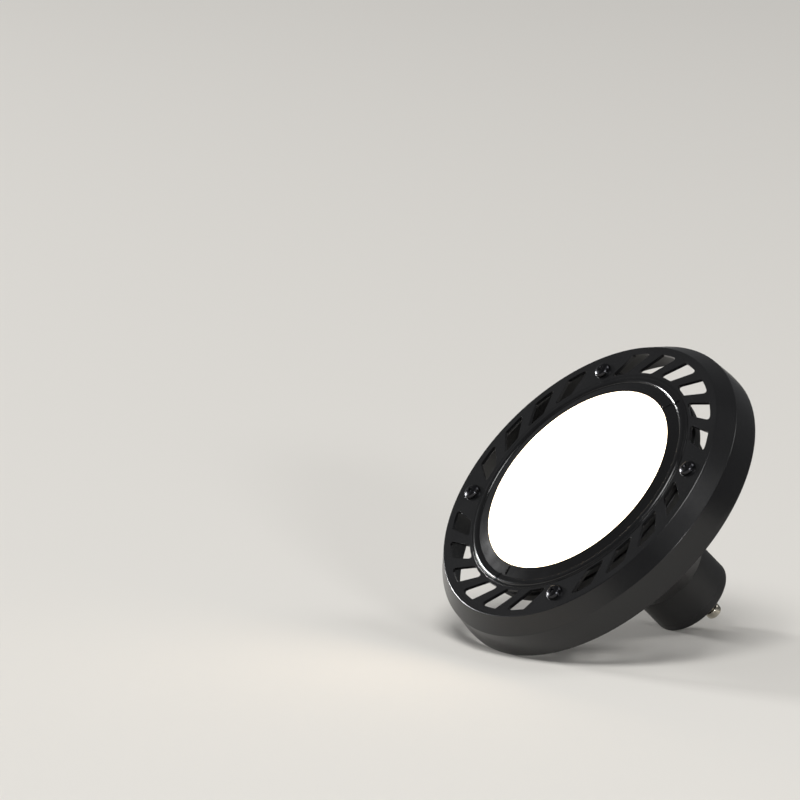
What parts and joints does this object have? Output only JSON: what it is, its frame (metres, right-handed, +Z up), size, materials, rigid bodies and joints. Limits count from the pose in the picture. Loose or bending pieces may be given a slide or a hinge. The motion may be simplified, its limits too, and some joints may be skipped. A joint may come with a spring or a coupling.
{
  "type": "reflector spotlight lamp",
  "caption": "Round LED reflector lamp, lit, with a slotted black ring round an opal disc, a ribbed heat sink behind it and a small twist-lock pin base; lies on its rim and base.",
  "frame": {"origin": "centre of the footprint, on the surface that the rim and the base rest on", "axes": "+Z up; the lamp's axis lies in the XZ plane, its light points towards -X and up, its pins towards +X and down"},
  "size_m": [0.0866, 0.111, 0.0869],
  "materials": {
    "black_coated_sheet": "satin black coat on pressed steel sheet",
    "black_coated_casting": "satin black powder coat on die-cast aluminium",
    "bright_steel": "nickel-plated steel",
    "gloss_black_plastic": "polished moulded plastic",
    "opal_polycarbonate": "opal, lit warm white",
    "spun_aluminium": "bright spun sheet",
    "black_plastic": "fine moulded texture",
    "white_plastic": "moulded",
    "source_ceramic": "white ceramic with yellow coating",
    "thermal_silicone": "soft grey pad",
    "pin_brass": "nickel-plated brass",
    "insulating_sheet": "pale pressed sheet",
    "board_laminate": "green circuit laminate",
    "ferrite": "dark grey sintered",
    "winding_tape": "yellow tape over copper wire",
    "capacitor_sleeve": "dark shrink sleeve",
    "film_case": "dipped case",
    "copper_wire": "enamelled copper",
    "chip_epoxy": "black epoxy",
    "resistor_coat": "lacquered",
    "red_insulation": "wire insulation",
    "black_insulation": "wire insulation",
    "brown_insulation": "wire insulation",
    "blue_insulation": "wire insulation"
  },
  "bodies": {
    "root": {"front_ring": "black_coated_sheet", "ring_screws": "bright_steel", "bezel": "gloss_black_plastic", "diffuser": "opal_polycarbonate", "heat_sink": "black_coated_casting", "reflector": "spun_aluminium", "light_source": "source_ceramic", "source_holder": "white_plastic", "holder_screws": "bright_steel", "thermal_pad": "thermal_silicone", "driver_housing": "black_plastic", "housing_screws": "bright_steel", "insulating_disc": "insulating_sheet", "base_cap": "black_plastic", "contact_pin_left": "pin_brass", "contact_pin_right": "pin_brass", "driver_board": "board_laminate", "transformer_core": "ferrite", "transformer_winding": "winding_tape", "input_capacitor": "capacitor_sleeve", "output_capacitor": "capacitor_sleeve", "film_capacitor": "film_case", "choke": "copper_wire", "bridge_rectifier": "chip_epoxy", "controller_chip": "chip_epoxy", "fuse_resistor": "resistor_coat", "source_wire_positive": "red_insulation", "source_wire_negative": "black_insulation", "mains_wire_live": "brown_insulation", "mains_wire_neutral": "blue_insulation"}
  },
  "joints": []
}
